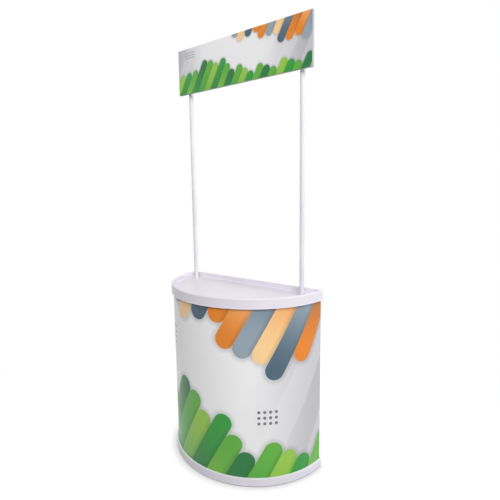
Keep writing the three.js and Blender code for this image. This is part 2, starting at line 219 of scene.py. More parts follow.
def makeTrayPlastic():
    # satin moulded plastic: fine grain, slow sink ripples, faint scuffs and dust
    look = trayPlastic
    paint = newPaint("trayPlastic")
    scuffs = paint.noise(look["scuffs"])
    dust = paint.noise(look["specks"]) * look["speckDust"] + scuffs * look["scuffDust"]
    body = paint.mix(paint.noise(look["tone"]), look["colour"], look["shade"])
    slow = paint.bump(paint.noise(look["ripple"]), look["ripple"])
    fine = paint.bump(paint.noise(look["grain"]), look["grain"], slow)
    return paint.finish(look, paint.mix(dust, body, look["dust"]), scuffs * look["scuffed"], fine)


panelSheet = {
    "colour": linear(229, 229, 232),
    "shade": linear(225, 225, 229),
    "mottle": {"scale": 9, "between": (0.2, 0.9)},
    "lines": {"scale": 260, "stretch": (1, 1, 0.02), "depth": 0.00006, "strength": 0.4},
    "roughness": 0.46,
    "lined": 0.12,
    "gloss": 0.35,
}


def makePanelSheet():
    # extruded sheet: long faint lines up its roll, matt skin
    look = panelSheet
    paint = newPaint("panelSheet")
    lines = paint.noise(look["lines"])
    colour = paint.mix(paint.noise(look["mottle"]), look["colour"], look["shade"])
    return paint.finish(look, colour, lines * look["lined"], paint.bump(lines, look["lines"]))


fittingPlastic = {
    "colour": linear(200, 201, 205),
    "shade": linear(189, 190, 195),
    "tone": {"scale": 40, "detail": 3, "between": (0.35, 0.7)},
    "grain": {"scale": 1900, "depth": 0.00004, "strength": 0.6},
    "roughness": 0.41,
    "grained": 0.14,
    "gloss": 0.4,
}


def makeFittingPlastic():
    # grey moulded plastic with a fine even grain
    look = fittingPlastic
    paint = newPaint("fittingPlastic")
    grain = paint.noise(look["grain"])
    colour = paint.mix(paint.noise(look["tone"]), look["colour"], look["shade"])
    return paint.finish(look, colour, grain * look["grained"], paint.bump(grain, look["grain"]))


polePaint = {
    "colour": linear(228, 227, 232),
    "shade": linear(222, 221, 227),
    "tone": {"scale": 7, "between": (0.3, 0.7)},
    "rubs": {"scale": 900, "stretch": (1, 1, 0.015), "between": (0.62, 0.74)},
    "peel": {"scale": 520, "depth": 0.00004, "strength": 0.35},
    "roughness": 0.28,
    "rubbed": 0.1,
    "gloss": 0.5,
}


def makePolePaint():
    # powder paint on drawn tube: soft orange peel and rubbed lines where it slides
    look = polePaint
    paint = newPaint("polePaint")
    colour = paint.mix(paint.noise(look["tone"]), look["colour"], look["shade"])
    rough = paint.noise(look["rubs"]) * look["rubbed"]
    return paint.finish(look, colour, rough, paint.bump(paint.noise(look["peel"]), look["peel"]))


headerFoam = {
    "colour": linear(184, 185, 190),
    "pore": linear(168, 169, 175),
    "pores": {"scale": 2600, "detail": 3, "coarse": 0.7, "depth": 0.0001, "strength": 0.6},
    "poreTone": (0.5, 0.75),
    "saw": {"scale": 700, "detail": 1, "stretch": (0.2, 1, 1)},
    "sawn": 0.4,
    "roughness": 0.62,
    "porous": 0.16,
    "gloss": 0.25,
}


def makeHeaderFoam():
    # foamed board: matt, with fine closed pores and faint saw lines on its edges
    look = headerFoam
    paint = newPaint("headerFoam")
    pores = paint.noise(look["pores"])
    colour = paint.mix(pores.ease(*look["poreTone"]), look["colour"], look["pore"])
    normal = paint.bump(pores + paint.noise(look["saw"]) * look["sawn"], look["pores"])
    return paint.finish(look, colour, pores * look["porous"], normal)


screwSteel = {
    "colour": linear(196, 198, 200),
    "tint": linear(176, 176, 182),
    "cloud": {"scale": 420, "detail": 4, "depth": 0.00005, "strength": 0.4},
    "cloudTone": (0.4, 0.7),
    "roughness": 0.28,
    "clouded": 0.2,
    "metal": 1.0,
    "gloss": 0.5,
}


def makeScrewSteel():
    # zinc plate with a cloudy, slightly blue tint
    look = screwSteel
    paint = newPaint("screwSteel")
    cloud = paint.noise(look["cloud"])
    colour = paint.mix(cloud.ease(*look["cloudTone"]), look["colour"], look["tint"])
    return paint.finish(look, colour, cloud * look["clouded"], paint.bump(cloud, look["cloud"]))


footRubber = {
    "colour": linear(44, 44, 47),
    "worn": linear(66, 65, 66),
    "skin": {"scale": 1300, "detail": 4, "coarse": 0.7, "depth": 0.00012, "strength": 0.7},
    "skinTone": (0.45, 0.75),
    "roughness": 0.7,
    "skinned": 0.2,
    "gloss": 0.3,
}


def makeFootRubber():
    # dark rubber, paler where its skin is worn
    look = footRubber
    paint = newPaint("footRubber")
    skin = paint.noise(look["skin"])
    colour = paint.mix(skin.ease(*look["skinTone"]), look["colour"], look["worn"])
    return paint.finish(look, colour, skin * look["skinned"], paint.bump(skin, look["skin"]))


# Prints

# leaning round-ended bars stand up from the lower edge and hang from the upper one; places run along the
# print (u) and up it (v), from the middle of its lower edge
inks = {
    "ground": linear(241, 240, 241),
    "dusk": linear(180, 179, 184),
    "pale": linear(241, 241, 241),
    "deepGreen": linear(30, 116, 58),
    "green": linear(46, 152, 56),
    "leaf": linear(92, 172, 58),
    "lime": linear(146, 196, 70),
    "slate": linear(74, 98, 114),
    "mist": linear(146, 162, 174),
    "sand": linear(247, 206, 148),
    "amber": linear(228, 132, 36),
    "rust": linear(140, 84, 46),
    "graphite": linear(118, 118, 120),
}
lowInks = [
    ("green", "leaf"), ("leaf", "lime"), ("deepGreen", "green"), ("lime", "leaf"), ("green", "deepGreen"),
]
highInks = [
    ("slate", "mist"), ("amber", "sand"), ("mist", "slate"), ("rust", "amber"), ("sand", "amber"),
]

# lean: in degrees; the dusk starts and ends at shares of the half width, the pale bands lie at bar pitches
printLook = {
    "lean": 30.0,
    "edge": 0.0004,
    "shadow": 0.3,
    "duskRight": (0.25, 1.05),
    "duskLeft": (-0.45, -1.1),
    "bandEvery": 3,
    "bandEdge": (1.45, 1.55),
    "bandTone": 0.22,
    "film": {"scale": 700, "depth": 0.00004, "strength": 0.35},
    "haze": {"scale": 14, "detail": 4, "between": (0.4, 0.7)},
    "roughness": 0.3,
    "hazed": 0.08,
    "gloss": 0.4,
}

# from, to: where a row starts and ends across the lean; level: its bars' height; swell: what is added to it
# at the peak, which is a share of the row; step: how uneven the bars stand; dots: each block's left edge,
# lower edge, columns and rows
panelPrint = {
    "width": 1.24,
    "ease": 0.42,
    "pitch": 0.086,
    "shadowReach": 0.026,
    "rows": [
        {"side": 1, "inks": lowInks, "from": -0.64, "to": 0.60, "level": 0.105,
         "swell": 0.26, "peak": 0.3, "spread": 0.26, "step": 0.034},
        {"side": -1, "inks": highInks, "from": -0.56, "to": 0.16, "level": 0.80,
         "swell": 0.24, "peak": 0.85, "spread": 0.38, "step": 0.03},
    ],
    "dots": [(-0.36, 0.56, 6, 4), (0.27, 0.28, 4, 3)],
    "dotPitch": 0.026,
    "dotRadius": 0.0072,
}
headerPrint = {
    "width": 0.789,
    "ease": 0.2,
    "pitch": 0.037,
    "shadowReach": 0.011,
    "rows": [
        {"side": 1, "inks": lowInks, "from": -0.39, "to": 0.34, "level": 0.03,
         "swell": 0.085, "peak": 0.26, "spread": 0.22, "step": 0.012},
        {"side": -1, "inks": highInks, "from": -0.12, "to": 0.26, "level": 0.208,
         "swell": 0.07, "peak": 0.9, "spread": 0.4, "step": 0.011},
    ],
    "dots": [(-0.345, 0.165, 6, 3)],
    "dotPitch": 0.012,
    "dotRadius": 0.0033,
}


def barsOf(row, pitch):
    # one row's bars: their place across the lean, the height of their end and their inks
    count = int((row["to"] - row["from"]) / pitch)
    for i in range(count + 1):
        share = i / count
        swell = math.exp(-(((share - row["peak"]) / row["spread"]) ** 2))
        uneven = (i * 2) % 3 - 1  # -1, 1, 0 and again
        height = row["level"] + row["side"] * (row["swell"] * swell + row["step"] * uneven)
        yield row["from"] + i * pitch, height, row["inks"][i % len(row["inks"])]


def inside(distance):
    # 1 within an outline and 0 beyond it, from the distance to it
    return distance.ease(printLook["edge"], -printLook["edge"])


def printBar(paint, colour, across, along, look, side, bar):
    # one bar and its soft shadow, laid over what is printed already
    place, height, (footInk, tipInk) = bar
    lean = math.radians(printLook["lean"])
    end = (height + place * math.sin(lean)) / math.cos(lean)
    beyond = ((along - end) * side).operate("MAXIMUM")
    offset = paint.node("ShaderNodeCombineXYZ", {}, {"X": across - place, "Y": beyond})
    distance = paint.length(offset) - look["pitch"] / 2
    shadow = distance.ease(look["shadowReach"], 0.0) * printLook["shadow"]
    shaded = paint.mix(shadow, colour, inks["graphite"], "MULTIPLY")
    fade = (along * side).ease(end * side - look["ease"], end * side)
    return paint.mix(inside(distance), shaded, paint.mix(fade, inks[footInk], inks[tipInk]))


def printDots(paint, colour, u, v, look, block):
    # a small block of round dots
    left, low, columns, rows = block
    pitch = look["dotPitch"]
    offset = paint.node("ShaderNodeCombineXYZ", {}, {
        "X": (u - left) % pitch - pitch / 2, "Y": (v - low) % pitch - pitch / 2,
    })
    dot = inside(paint.length(offset) - look["dotRadius"])
    halfWidth = columns * pitch / 2
    halfHeight = rows * pitch / 2
    inColumns = inside(abs(u - (left + halfWidth)) - halfWidth)
    inRows = inside(abs(v - (low + halfHeight)) - halfHeight)
    return paint.mix(dot * inColumns * inRows, colour, inks["graphite"])


def makePrint(name, look):
    # ink under a satin laminate
    paint = newPaint(name)
    u = paint.node("ShaderNodeSeparateXYZ", {}, {0: paint.node("ShaderNodeUVMap", {"uv_map": "printMap"})})
    v = u.output("Y")
    lean = math.radians(printLook["lean"])
    across = u * math.cos(lean) - v * math.sin(lean)
    along = u * math.sin(lean) + v * math.cos(lean)
    colour = inks["ground"]
    for key in ("duskRight", "duskLeft"):
        dusk = u.ease(*(share * look["width"] / 2 for share in printLook[key]))
        colour = paint.mix(dusk, colour, inks["dusk"])
    bands = (across % (look["pitch"] * printLook["bandEvery"])).ease(
        *(share * look["pitch"] for share in printLook["bandEdge"]))
    colour = paint.mix(bands * printLook["bandTone"], colour, inks["pale"])
    for block in look["dots"]:
        colour = printDots(paint, colour, u, v, look, block)
    for row in look["rows"]:
        for bar in barsOf(row, look["pitch"]):
            colour = printBar(paint, colour, across, along, look, row["side"], bar)
    rough = paint.noise(printLook["haze"]) * printLook["hazed"]
    normal = paint.bump(paint.noise(printLook["film"]), printLook["film"])
    return paint.finish(printLook, colour, rough, normal)


finishes = {
    "tray_plastic": makeTrayPlastic(),
    "panel_sheet": makePanelSheet(),
    "fitting_plastic": makeFittingPlastic(),
    "pole_paint": makePolePaint(),
    "header_foam": makeHeaderFoam(),
    "screw_steel": makeScrewSteel(),
    "foot_rubber": makeFootRubber(),
}
panelPrintFinish = makePrint("panelPrint", panelPrint)
headerPrintFinish = makePrint("headerPrint", headerPrint)
print("finishes made:", len(bpy.data.materials))


# Mesh helpers

meshing = {
    "sharpAngle": math.radians(34),
    "bevelAngle": math.radians(30),
    "flatAngle": math.radians(1),
    "merge": 0.000002,
}


def addPiece(name, bm, slotName, body, nodes, finish=None):
    # a mesh that rides on a body and stands for CAD nodes
    mesh = bpy.data.meshes.new(name)
    bm.to_mesh(mesh)
    bm.free()
    mesh.polygons.foreach_set("use_smooth", [True] * len(mesh.polygons))
    mesh.set_sharp_from_angle(angle=meshing["sharpAngle"])
    mesh.materials.append(finish or finishes[slotName])
    piece = bpy.data.objects.new(name, mesh)
    scene.collection.objects.link(piece)
    even = piece.modifiers.new("evenNormals", "WEIGHTED_NORMAL")
    even.keep_sharp = True
    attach(piece, body)
    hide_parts(*nodes)


def tidyShell(bm):
    bmesh.ops.remove_doubles(bm, verts=bm.verts, dist=meshing["merge"])
    bmesh.ops.recalc_face_normals(bm, faces=bm.faces)
    return bm


def vertsIn(items):
    return [item for item in items if isinstance(item, bmesh.types.BMVert)]


def roundedLine(points, steps=3):
    # a section's corner points (across, height, radius, tag) as a line whose corners are arcs
    # where a radius is given
    line = []
    for i, (x, z, radius, *tag) in enumerate(points):
        corner = Vector((x, z))
        if not radius:
            line.append((x, z, *tag))
            continue
        back = (Vector(points[i - 1][:2]) - corner).normalized()
        ahead = (Vector(points[(i + 1) % len(points)][:2]) - corner).normalized()
        half = back.angle(ahead) / 2
        centre = corner + (back + ahead).normalized() * radius / math.sin(half)
        arm = corner + back * radius / math.tan(half) - centre
        sweep = math.copysign(math.pi - 2 * half, -back.cross(ahead))
        for step in range(steps + 1):
            turned = Matrix.Rotation(sweep * step / steps, 2) @ arm
            line.append((centre.x + turned.x, centre.y + turned.y, *tag))
    return line


def turnedShell(points, steps, closed=False):
    # a section of (radius, height) points spun round the Z axis
    bm = bmesh.new()
    verts = [bm.verts.new((radius, 0, z)) for radius, z in points]
    edges = [bm.edges.new(pair) for pair in zip(verts, verts[1:])]
    if closed:
        edges.append(bm.edges.new((verts[-1], verts[0])))
    bmesh.ops.spin(
        bm, geom=verts + edges, cent=(0, 0, 0), axis=(0, 0, 1), angle=2 * math.pi, steps=steps,
        use_merge=True, use_duplicate=False)
    return tidyShell(bm)


def placed(bm, place, turn=None):
    bmesh.ops.transform(bm, matrix=Matrix.Translation(place) @ (turn or Matrix()), verts=bm.verts)
    return bm


def middle(node):
    low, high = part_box(node)
    return (low + high) / 2


def stoodAt(bm, node):
    # a shape made round the Z axis, moved sideways to a node's middle
    return placed(bm, (middle(node).x, middle(node).y, 0))


def join(bm, *others):
    # adds other meshes to a mesh
    for other in others:
        mesh = bpy.data.meshes.new("joined")
        other.to_mesh(mesh)
        other.free()
        bm.from_mesh(mesh)
        bpy.data.meshes.remove(mesh)
    return bm


def box(low, high):
    bm = bmesh.new()
    bmesh.ops.create_cube(bm, size=1)
    low, high = Vector(low), Vector(high)
    bmesh.ops.scale(bm, vec=high - low, verts=bm.verts)
    bmesh.ops.translate(bm, vec=(low + high) / 2, verts=bm.verts)
    return bm


def bevelSharp(bm, width, segments=2):
    sharp = meshing["bevelAngle"]
    edges = [e for e in bm.edges if len(e.link_faces) == 2 and e.calc_face_angle() > sharp]
    bmesh.ops.bevel(
        bm, geom=edges, offset=width, affect="EDGES", segments=segments, profile=0.5, material=-1)
    return bm


def combine(operation, first, *others):
    # one closed mesh from several: the others are cut out of the first or fused with it
    owner, tool = (bpy.data.objects.new(name, bpy.data.meshes.new(name)) for name in ("owner", "tool"))
    for obj, shell in ((owner, first), (tool, join(*others))):
        shell.to_mesh(obj.data)
        shell.free()
        scene.collection.objects.link(obj)
    modifier = owner.modifiers.new("combine", "BOOLEAN")
    modifier.solver = "EXACT"
    modifier.operation = operation
    modifier.use_self = operation == "UNION" and len(others) > 1  # the others may overlap
    modifier.object = tool
    result = bmesh.new()
    result.from_object(owner, bpy.context.evaluated_depsgraph_get())
    for obj in (owner, tool):
        bpy.data.meshes.remove(obj.data)
    return result


def softCopy(node, width):
    # a CAD node's own shape with its edges rounded
    bm = bmesh.new()
    bm.from_mesh(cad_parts[node].data)
    bmesh.ops.remove_doubles(bm, verts=bm.verts, dist=meshing["merge"])
    bmesh.ops.dissolve_limit(bm, angle_limit=meshing["flatAngle"], verts=bm.verts, edges=bm.edges)
    return bevelSharp(bm, width)


# D-shaped trays

baseLow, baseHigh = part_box("base_tray")
topLow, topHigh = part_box("countertop")

# ribIn: the outer rib's inner face, where the panel's groove begins; wallSink, plateSink: how far the cross
# ribs run into the wall and the plate
tray = {
    "halfWidth": baseHigh.x,
    "depth": baseHigh.y - baseLow.y,
    "back": baseHigh.y,
    "corner": 0.008,
    "leastCorner": 0.0006,
    "wall": 0.003,
    "ribIn": 0.0076,
    "ribWall": 0.0022,
    "ribDepth": 0.015,
    "grooveWidth": 0.0046,
    "wallSink": 0.0005,
    "plateSink": 0.0003,
    "frontSteps": 120,
    "cornerSteps": 6,
    "arcSteps": 5,
}
grooveIn = tray["ribIn"] + tray["grooveWidth"]
ribEnd = grooveIn + tray["ribWall"]
channelOut = tray["ribIn"] - tray["ribWall"]
frontCentre = Vector((0, tray["back"] - tray["corner"], 0))


def frontRadii(inset):
    return tray["halfWidth"] - inset, tray["depth"] - tray["corner"] - inset


def dRing(inset, z, cornerSum):
    # one D-shaped loop: an elliptic front, a straight back and rounded back corners, whose radius and the
    # inset add up to the corner sum
    corner = max(cornerSum - inset, tray["leastCorner"])
    radiusX, radiusY = frontRadii(inset)
    start = math.asin(max(0.0, inset + corner - tray["corner"]) / radiusY)
    bm = bmesh.new()
    right = bm.verts.new((math.cos(start), -math.sin(start), z))
    spun = bmesh.ops.spin(
        bm, geom=[right], cent=(0, 0, z), axis=(0, 0, 1), angle=2 * start - math.pi,
        steps=tray["frontSteps"], use_duplicate=False)
    left = vertsIn(spun["geom_last"])[0]
    bmesh.ops.scale(bm, vec=(radiusX, radiusY, 1), verts=bm.verts)
    bmesh.ops.translate(bm, vec=frontCentre, verts=bm.verts)
    ends = []
    for vert, side in ((right, 1), (left, -1)):
        centre = vert.co - Vector((side * corner, 0, 0))
        spun = bmesh.ops.spin(
            bm, geom=[vert], cent=centre, axis=(0, 0, 1), angle=side * math.pi / 2,
            steps=tray["cornerSteps"], use_duplicate=False)
        ends += vertsIn(spun["geom_last"])
    bm.edges.new(ends)
    return bm


def dShell(section):
    # a closed shell from a section of (inset, height, radius, corner sum), from its lower to its upper cap
    bm = bmesh.new()
    rings = []
    for point in roundedLine(section, tray["arcSteps"]):
        first = len(bm.edges)
        join(bm, dRing(*point))
        bm.edges.ensure_lookup_table()
        rings.append(bm.edges[first:])
    for lower, upper in zip(rings, rings[1:]):
        bmesh.ops.bridge_loops(bm, edges=lower[:-1] + upper[:-1])  # the front and the corners
        bmesh.ops.bridge_loops(bm, edges=[lower[-1], upper[-1]])  # the straight back
    for ring in (rings[0], rings[-1]):
        bmesh.ops.contextual_create(bm, geom=ring)
    bmesh.ops.recalc_face_normals(bm, faces=bm.faces)
    return bm


countertop = {
    "edge": 0.005,
    "rimWidth": 0.012,
    "rimEdge": 0.0018,
    "rimSkin": 0.003,
    "recessCorner": 0.022,
    "recessFillet": 0.008,
    "recessDraft": 0.005,
    "deckTop": topHigh.z - 0.023,
    "deck": 0.003,
    "bead": 0.001,
    "beadHeight": 0.004,
    "beadEdge": 0.0009,
    "beadStep": 0.0004,
    "skirtEdge": 0.0006,
    "ribEdge": 0.0004,
    "ribThickness": 0.002,
    "ribDepth": 0.010,
    "ribPitch": 0.130,
    "boss": 0.034,
    "bossDepth": 0.012,
    "bossEdge": 0.001,
    "bossSteps": 40,
    "hole": 0.0148,
    "overrun": 0.01,
}
deckUnder = countertop["deckTop"] - countertop["deck"]
lowerPoles = ("lower_pole_left", "lower_pole_right")


def topSection():
    # from the deck's underside round the groove's ribs, the skirt and the rim to the deck's top
    c = countertop
    ribLow = deckUnder - tray["ribDepth"]
    rimUnder = topHigh.z - c["rimSkin"]
    beadTop = topLow.z + c["beadHeight"]
    recessFoot = c["rimWidth"] + c["recessDraft"]
    walls = [
        (ribEnd, deckUnder, 0),
        (ribEnd, ribLow, c["ribEdge"]),
        (grooveIn, ribLow, c["ribEdge"]),
        (grooveIn, deckUnder, 0),
        (tray["ribIn"], deckUnder, 0),
        (tray["ribIn"], ribLow, c["ribEdge"]),
        (channelOut, ribLow, c["ribEdge"]),
        (channelOut, rimUnder, 0),
        (tray["wall"], rimUnder, 0),
        (tray["wall"], topLow.z, c["skirtEdge"]),
        (-c["bead"], topLow.z, c["beadEdge"]),
        (-c["bead"], beadTop, c["beadEdge"]),
        (0, beadTop + c["bead"] / 2, c["beadStep"]),
        (0, topHigh.z, c["edge"]),
    ]
    recess = [
        (c["rimWidth"], topHigh.z, c["rimEdge"]),
        (recessFoot, c["deckTop"], c["recessFillet"]),
        (recessFoot + 2 * c["recessFillet"], c["deckTop"], 0),
    ]
    return [(*point, tray["corner"]) for point in walls] + [(*point, c["recessCorner"]) for point in recess]


def crossRibs(plate, wallIn, under):
    # thin ribs under a D-shaped plate, both ways, ended in its wall
    inset = wallIn - tray["wallSink"]
    low = under - plate["ribDepth"]
    high = under + tray["plateSink"]
    radiusX, radiusY = frontRadii(inset)
    back = tray["back"] - inset
    half = plate["ribThickness"] / 2
    bars = []
    across = int(radiusX / plate["ribPitch"])
    for i in range(-across, across + 1):
        x = i * plate["ribPitch"]
        front = frontCentre.y - radiusY * math.sqrt(1 - (x / radiusX) ** 2)
        bars.append(box((x - half, front, low), (x + half, back, high)))
    for j in range(1, int((tray["depth"] - inset) / plate["ribPitch"]) + 1):
        y = tray["back"] - j * plate["ribPitch"]
        reach = radiusX * math.sqrt(1 - ((frontCentre.y - y) / radiusY) ** 2)
        bars.append(box((-reach, y - half, low), (reach, y + half, high)))
    return bars


def makeCountertop():
    c = countertop
    holeLow = deckUnder - c["overrun"]
    holeLine = [(0, holeLow), (c["hole"], holeLow), (c["hole"], topHigh.z), (0, topHigh.z)]
    holes = [stoodAt(turnedShell(holeLine, c["bossSteps"]), node) for node in lowerPoles]
    shell = combine("DIFFERENCE", dShell(topSection()), *holes)
    addPiece("countertopShell", shell, "tray_plastic", "top_unit", ["countertop"])
    bossLow = deckUnder - c["bossDepth"]
    bossHigh = deckUnder + tray["plateSink"]
    bossLine = roundedLine([
        (c["hole"], bossLow, c["ribEdge"]), (c["boss"], bossLow, c["bossEdge"]),
        (c["boss"], bossHigh, 0), (c["hole"], bossHigh, 0),
    ])
    bosses = [stoodAt(turnedShell(bossLine, c["bossSteps"], closed=True), node) for node in lowerPoles]
    ribs = combine("UNION", *bosses, *crossRibs(c, ribEnd, deckUnder))
    addPiece("countertopRibs", ribs, "tray_plastic", "top_unit", [])


base = {
    "edge": 0.0035,
    "rimSkin": 0.003,
    "rimInnerEdge": 0.0008,
    "floorRise": 0.003,
    "floor": 0.003,
    "floorStart": 0.004,
    "innerFootEdge": 0.0005,
    "outerFootEdge": 0.001,
    "grooveFillet": 0.0006,
    "ribEdge": 0.0005,
    "ribFillet": 0.0015,
}


def makeBaseTray():
    floorUnder = baseLow.z + base["floorRise"]
    floor = floorUnder + base["floor"]
    ribTop = floor + tray["ribDepth"]
    rimUnder = baseHigh.z - base["rimSkin"]
    section = [
        (channelOut, floorUnder, 0),
        (channelOut, rimUnder, 0),
        (tray["wall"], rimUnder, 0),
        (tray["wall"], baseLow.z, base["innerFootEdge"]),
        (0, baseLow.z, base["outerFootEdge"]),
        (0, baseHigh.z, base["edge"]),
        (tray["ribIn"], baseHigh.z, base["rimInnerEdge"]),
        (tray["ribIn"], floor, base["grooveFillet"]),
        (grooveIn, floor, base["grooveFillet"]),
        (grooveIn, ribTop, base["ribEdge"]),
        (ribEnd, ribTop, base["ribEdge"]),
        (ribEnd, floor, base["ribFillet"]),
        (ribEnd + base["floorStart"], floor, 0),
    ]
    shell = dShell([(*point, tray["corner"]) for point in section])
    addPiece("baseTrayShell", shell, "tray_plastic", "base_unit", ["base_tray"])


shelf = {
    "inset": 0.0168,
    "cornerSum": 0.0228,
    "plate": 0.003,
    "wall": 0.0025,
    "edge": 0.003,
    "innerLowEdge": 0.0004,
    "outerLowEdge": 0.0008,
    "ribThickness": 0.002,
    "ribDepth": 0.008,
    "ribPitch": 0.150,
}


def makeShelf():
    low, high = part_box("shelf")
    outer = shelf["inset"]
    inner = outer + shelf["wall"]
    under = high.z - shelf["plate"]
    section = [
        (inner, under, 0),
        (inner, low.z, shelf["innerLowEdge"]),
        (outer, low.z, shelf["outerLowEdge"]),
        (outer, high.z, shelf["edge"]),
        (outer + 2 * shelf["edge"], high.z, 0),
    ]
    shell = dShell([(*point, shelf["cornerSum"]) for point in section])
    addPiece("shelfShell", shell, "tray_plastic", "shelf_unit", ["shelf"])
    ribs = combine("UNION", *crossRibs(shelf, inner, under))
    addPiece("shelfRibs", ribs, "tray_plastic", "shelf_unit", [])


makeCountertop()
makeBaseTray()
makeShelf()
print("trays and shelf made")


# Curved front: the sheet and its print

front = {"steps": 160, "sheetIn": 0.0088, "sheet": 0.003, "printIn": 0.008, "film": 0.0005}


def curvedWall(inset, thickness, low, high):
    # a thin wall that follows the front curve from side to side
    radiusX, radiusY = frontRadii(inset)
    inner = 1 - thickness / radiusX
    section = ((inner, low), (1, low), (1, high), (inner, high))
    bm = bmesh.new()
    verts = [bm.verts.new((radius, 0, z)) for radius, z in section]
    face = bm.faces.new(verts)
    bmesh.ops.spin(
        bm, geom=verts + list(face.edges) + [face], cent=(0, 0, 0), axis=(0, 0, 1), angle=-math.pi,
        steps=front["steps"], use_duplicate=False)
    bmesh.ops.scale(bm, vec=(radiusX, radiusY, 1), verts=bm.verts)
    bmesh.ops.translate(bm, vec=frontCentre, verts=bm.verts)
    return tidyShell(bm)


def mapPrint(bm, place):
    # writes where each corner lies on the print
    layer = bm.loops.layers.uv.new("printMap")
    for face in bm.faces:
        for loop in face.loops:
            loop[layer].uv = place(loop.vert.co)


def makeFront():
    low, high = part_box("front_panel")
    sheet = curvedWall(front["sheetIn"], front["sheet"], low.z, high.z)
    addPiece("frontSheet", sheet, "panel_sheet", "panel_unit", ["front_panel"])
    film = curvedWall(front["printIn"], front["film"], low.z, high.z)
    radiusX, radiusY = frontRadii(front["printIn"])
    halfArc = panelPrint["width"] / 2

    def onPanel(co):
        angle = math.atan2((frontCentre.y - co.y) / radiusY, co.x / radiusX)
        return (1 - 2 * angle / math.pi) * halfArc, co.z

    mapPrint(film, onPanel)
    addPiece("panelFilm", film, "printed_film", "panel_unit", ["body_graphic"], panelPrintFinish)


makeFront()
print("front made")


# Header board and its print

header = {"edge": 0.0007, "filmEdge": 0.0001}


def makeHeader():
    board = bevelSharp(box(*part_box("header_board")), header["edge"])
    addPiece("headerBoard", board, "header_foam", "header_unit", ["header_board"])
    low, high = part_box("header_graphic")
    film = bevelSharp(box(low, high), header["filmEdge"], 1)
    mapPrint(film, lambda co: (co.x, co.z - low.z))
    addPiece("headerFilm", film, "printed_film", "header_unit", ["header_graphic"], headerPrintFinish)


makeHeader()
print("header made")


# Poles, plugs, joiners and sockets

# bore: the radius inside what slides over a pole
pole = {"wall": 0.0015, "edge": 0.0006, "bore": 0.0114, "steps": 44}


def makeTube(name, node, body):
    low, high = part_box(node)
    outer = (high.x - low.x) / 2
    inner = outer - pole["wall"]
    edge = pole["edge"]
    line = roundedLine([
        (inner, low.z, edge / 2), (outer, low.z, edge), (outer, high.z, edge), (inner, high.z, edge / 2),
    ])
    shell = turnedShell(line, pole["steps"], closed=True)
    addPiece(name, stoodAt(shell, node), "pole_paint", body, [node])


plug = {
    "flange": 0.003,
    "spigot": 0.0092,
    "edge": 0.0006,
    "seatEdge": 0.0002,
    "rings": 3,
    "ringRise": 0.0002,
    "ringShare": 1 / 3,
}


def makePlug(name, node, body, up):
    # an end plug: a flange as wide as the pole and a spigot with grip rings that points up (1) or down (-1)
    low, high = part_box(node)
    outer = (high.x - low.x) / 2
    seat = plug["flange"]
    length = high.z - low.z
    spigot = plug["spigot"]
    pitch = (length - seat) / (plug["rings"] + 1)
    rings = []
    for i in range(1, plug["rings"] + 1):
        crest = seat + i * pitch
        rings += [(spigot - plug["ringRise"], crest - pitch * plug["ringShare"], 0), (spigot, crest, 0)]
    line = roundedLine([
        (0, 0, 0), (outer, 0, plug["edge"]), (outer, seat, plug["seatEdge"]), (spigot, seat, 0),
        *rings, (spigot - plug["edge"], length, plug["edge"] / 2), (0, length, 0),
    ])
    end = low.z if up > 0 else high.z
    shell = turnedShell([(radius, end + up * along) for radius, along in line], pole["steps"])
    addPiece(name, stoodAt(shell, node), "fitting_plastic", body, [node])


joiner = {"wall": 0.002, "edge": 0.0004, "lead": 0.0012}


def makeJoiner(name, node, body):
    # a spigot tube with a slope at its upper end that leads the next pole on
    low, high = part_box(node)
    outer = (high.x - low.x) / 2
    inner = outer - joiner["wall"]
    edge = joiner["edge"]
    lead = joiner["lead"]
    line = roundedLine([
        (inner, low.z, edge), (outer, low.z, edge), (outer, high.z - 2 * lead, lead),
        (outer - lead, high.z, edge), (inner, high.z, edge),
    ])
    shell = turnedShell(line, pole["steps"], closed=True)
    addPiece(name, stoodAt(shell, node), "fitting_plastic", body, [node])


socket = {
    "wall": 0.003,
    "floor": 0.003,
    "footEdge": 0.002,
    "fillet": 0.001,
    "collarEdge": 0.0011,
    "lead": 0.0009,
    "flange": 0.003,
    "flangeGap": 0.0003,
    "flangeEdge": 0.0005,
    "fins": 3,
    "finWall": 0.0018,
    "finDepth": 0.014,
    "finIn": 0.004,
    "finSink": 0.001,
    "arcSteps": 4,
}


def makeSocket(name, node):
    # a deep cup with a low collar on the deck, a flange screwed up to the boss and fins under the flange
    low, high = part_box(node)
    bore = pole["bore"]
    outer = bore + socket["wall"]
    reach = (high.x - low.x) / 2
    floor = low.z + socket["floor"]
    fillet = socket["fillet"]
    flangeEdge = socket["flangeEdge"]
    flangeTop = deckUnder - countertop["bossDepth"] - socket["flangeGap"]
    flangeLow = flangeTop - socket["flange"]
    line = roundedLine([
        (0, low.z, 0), (outer, low.z, socket["footEdge"]), (outer, flangeLow, fillet),
        (reach, flangeLow, flangeEdge), (reach, flangeTop, flangeEdge), (outer, flangeTop, 0),
        (outer, high.z, socket["collarEdge"]), (bore, high.z, socket["lead"]), (bore, floor, fillet),
        (0, floor, 0),
    ], socket["arcSteps"])
    solids = [turnedShell(line, pole["steps"])]
    half = socket["finWall"] / 2
    sink = socket["finSink"]
    finOut = reach - socket["finIn"]
    for i in range(socket["fins"]):
        fin = box((outer - sink, -half, flangeLow - socket["finDepth"]), (finOut, half, flangeLow + sink))
        lowest = [v for v in fin.verts if v.co.z < flangeLow and v.co.x > outer]
        bmesh.ops.translate(fin, vec=(outer + sink - finOut, 0, 0), verts=lowest)
        turn = Matrix.Rotation(math.pi * (2 * i / socket["fins"] + 0.5), 4, "Z")
        solids.append(placed(fin, (0, 0, 0), turn))
    addPiece(name, stoodAt(combine("UNION", *solids), node), "tray_plastic", "top_unit", [node])


